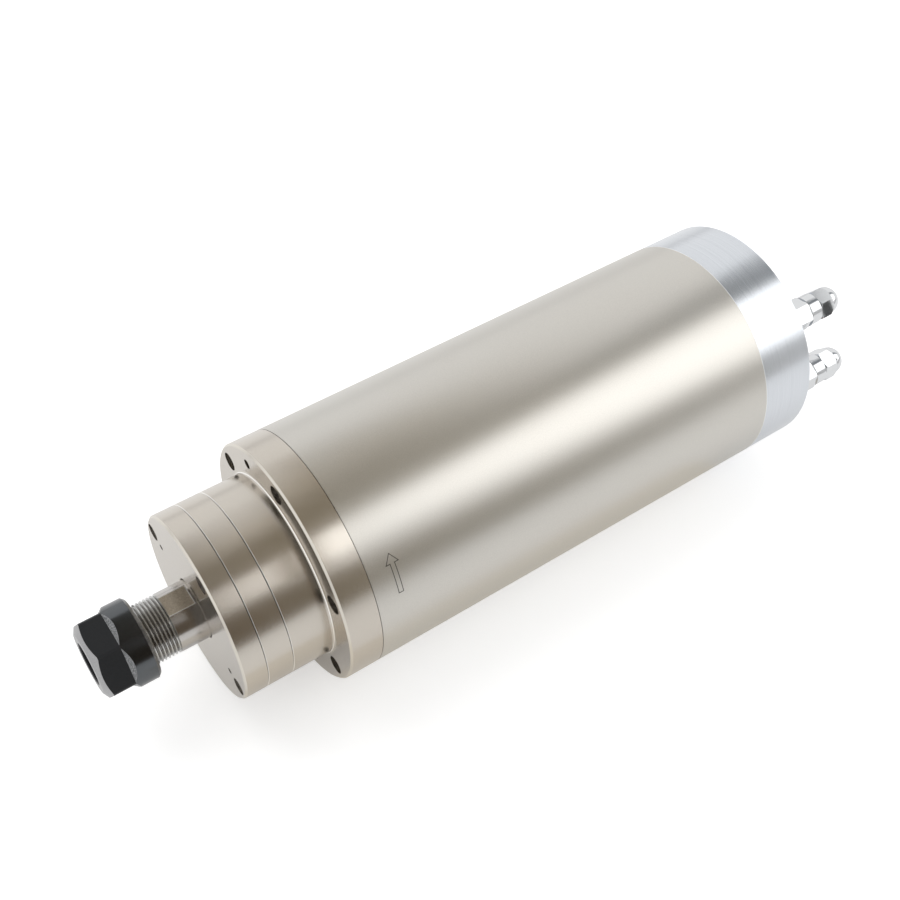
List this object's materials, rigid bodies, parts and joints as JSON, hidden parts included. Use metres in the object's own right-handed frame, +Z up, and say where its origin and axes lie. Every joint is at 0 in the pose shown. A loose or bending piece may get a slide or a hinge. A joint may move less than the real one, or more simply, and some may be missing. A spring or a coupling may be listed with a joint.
{
  "type": "motor spindle",
  "caption": "Water-cooled round motor spindle with a flanged nose, a collet chuck with a hexagonal nut, and hose fittings and a power connector at the rear.",
  "frame": {"origin": "on the spindle axis, at the middle of the body tube's length", "axes": "+X along the spindle axis from the nose to the rear, +Z up, towards a flat of the collet nut at rest"},
  "size_m": [0.3542, 0.105, 0.105],
  "materials": {
    "nose_nickel": "satin warm nickel plate",
    "tube_steel": "fine satin, faintly warm",
    "cover_aluminium": "bright turned, cool",
    "nut_black": "black oxide, satin",
    "locknut_black": "black oxide",
    "shaft_steel": "ground",
    "collet_steel": "ground",
    "screw_steel": "dark",
    "fitting_chrome": "polished nickel plate",
    "connector_nickel": "nickel plate",
    "jacket_aluminium": "turned",
    "seat_aluminium": "turned",
    "cast_aluminium": "cast",
    "core_iron": "stacked laminations",
    "winding_copper": "varnished copper",
    "ring_brass": "turned",
    "washer_copper": "soft copper",
    "bearing_steel": "ground",
    "ball_chrome": "polished",
    "spring_steel": "rolled",
    "cage_fibre": "phenolic",
    "seal_rubber": "smooth",
    "insulator_black": "moulded",
    "pin_gold": "gold plate",
    "lead_red": "silicone sleeve"
  },
  "bodies": {
    "housing": {"front_cover": "nose_nickel", "front_cover_screws": "screw_steel", "bearing_clamp_ring": "nose_nickel", "front_housing": "nose_nickel", "flange_screws": "screw_steel", "body_tube": "tube_steel", "water_jacket": "jacket_aluminium", "jacket_seal_front": "seal_rubber", "jacket_seal_rear": "seal_rubber", "stator_core": "core_iron", "stator_windings": "winding_copper", "rear_bearing_seat": "seat_aluminium", "rear_cover": "cover_aluminium", "rear_cover_screws": "screw_steel", "rear_cover_seal": "seal_rubber", "front_bearing_1_outer": "bearing_steel", "front_bearing_2_outer": "bearing_steel", "outer_spacer": "bearing_steel", "rear_bearing_outer": "bearing_steel", "preload_washer": "spring_steel", "water_inlet_body": "fitting_chrome", "water_inlet_washer": "washer_copper", "water_outlet_body": "fitting_chrome", "water_outlet_washer": "washer_copper", "connector_shell": "connector_nickel", "connector_gasket": "seal_rubber", "connector_insert": "insulator_black", "connector_pins": "pin_gold", "connector_screws": "connector_nickel", "phase_leads": "lead_red"},
    "rotor": {"spindle_shaft": "shaft_steel", "rotor_core": "core_iron", "rotor_cage": "cast_aluminium", "balance_ring_front": "ring_brass", "balance_ring_rear": "ring_brass", "front_locknut": "locknut_black", "labyrinth_ring": "bearing_steel", "front_bearing_1_inner": "bearing_steel", "front_bearing_2_inner": "bearing_steel", "inner_spacer": "bearing_steel", "rear_bearing_inner": "bearing_steel", "rear_locknut": "locknut_black"},
    "front_cage_1": {"front_bearing_1_cage": "cage_fibre", "front_bearing_1_balls": "ball_chrome"},
    "front_cage_2": {"front_bearing_2_cage": "cage_fibre", "front_bearing_2_balls": "ball_chrome"},
    "rear_cage": {"rear_bearing_cage": "cage_fibre", "rear_bearing_balls": "ball_chrome"},
    "collet": {"collet": "collet_steel"},
    "nut": {"collet_nut": "nut_black"},
    "inlet_ferrule": {"water_inlet_ferrule": "ring_brass"},
    "inlet_nut": {"water_inlet_nut": "fitting_chrome"},
    "outlet_ferrule": {"water_outlet_ferrule": "ring_brass"},
    "outlet_nut": {"water_outlet_nut": "fitting_chrome"}
  },
  "joints": [
    {"name": "shaft_spin", "type": "hinge", "parent": "housing", "child": "rotor", "pos_m": [0, 0, 0], "axis": [-1, 0, 0], "continuous": true},
    {"name": "front_cage_1_spin", "type": "hinge", "parent": "housing", "child": "front_cage_1", "pos_m": [0, 0, 0], "axis": [-1, 0, 0], "continuous": true},
    {"name": "front_cage_2_spin", "type": "hinge", "parent": "housing", "child": "front_cage_2", "pos_m": [0, 0, 0], "axis": [-1, 0, 0], "continuous": true},
    {"name": "rear_cage_spin", "type": "hinge", "parent": "housing", "child": "rear_cage", "pos_m": [0, 0, 0], "axis": [-1, 0, 0], "continuous": true},
    {"name": "collet_travel", "type": "slide", "parent": "rotor", "child": "collet", "axis": [-1, 0, 0], "range_m": [0, 0.009]},
    {"name": "nut_turn", "type": "hinge", "parent": "collet", "child": "nut", "pos_m": [0, 0, 0], "axis": [-1, 0, 0], "range_deg": [0, 2161]},
    {"name": "inlet_ferrule_travel", "type": "slide", "parent": "housing", "child": "inlet_ferrule", "axis": [1, 0, 0], "range_m": [0, 0.003]},
    {"name": "inlet_nut_turn", "type": "hinge", "parent": "inlet_ferrule", "child": "inlet_nut", "pos_m": [0.145, -0.02743, 0.03047], "axis": [1, 0, 0], "range_deg": [0, 1081]},
    {"name": "outlet_ferrule_travel", "type": "slide", "parent": "housing", "child": "outlet_ferrule", "axis": [1, 0, 0], "range_m": [0, 0.003]},
    {"name": "outlet_nut_turn", "type": "hinge", "parent": "outlet_ferrule", "child": "outlet_nut", "pos_m": [0.145, -0.0409, 0.00286], "axis": [1, 0, 0], "range_deg": [0, 1081]}
  ],
  "couplings": [
    {"joint": "front_cage_1_spin", "follows": "shaft_spin", "ratio": 0.4},
    {"joint": "front_cage_2_spin", "follows": "shaft_spin", "ratio": 0.4},
    {"joint": "rear_cage_spin", "follows": "shaft_spin", "ratio": 0.401},
    {"joint": "nut_turn", "follows": "collet_travel", "rad_per_m": 4188.8},
    {"joint": "inlet_nut_turn", "follows": "inlet_ferrule_travel", "rad_per_m": 6283.2},
    {"joint": "outlet_nut_turn", "follows": "outlet_ferrule_travel", "rad_per_m": 6283.2}
  ]
}
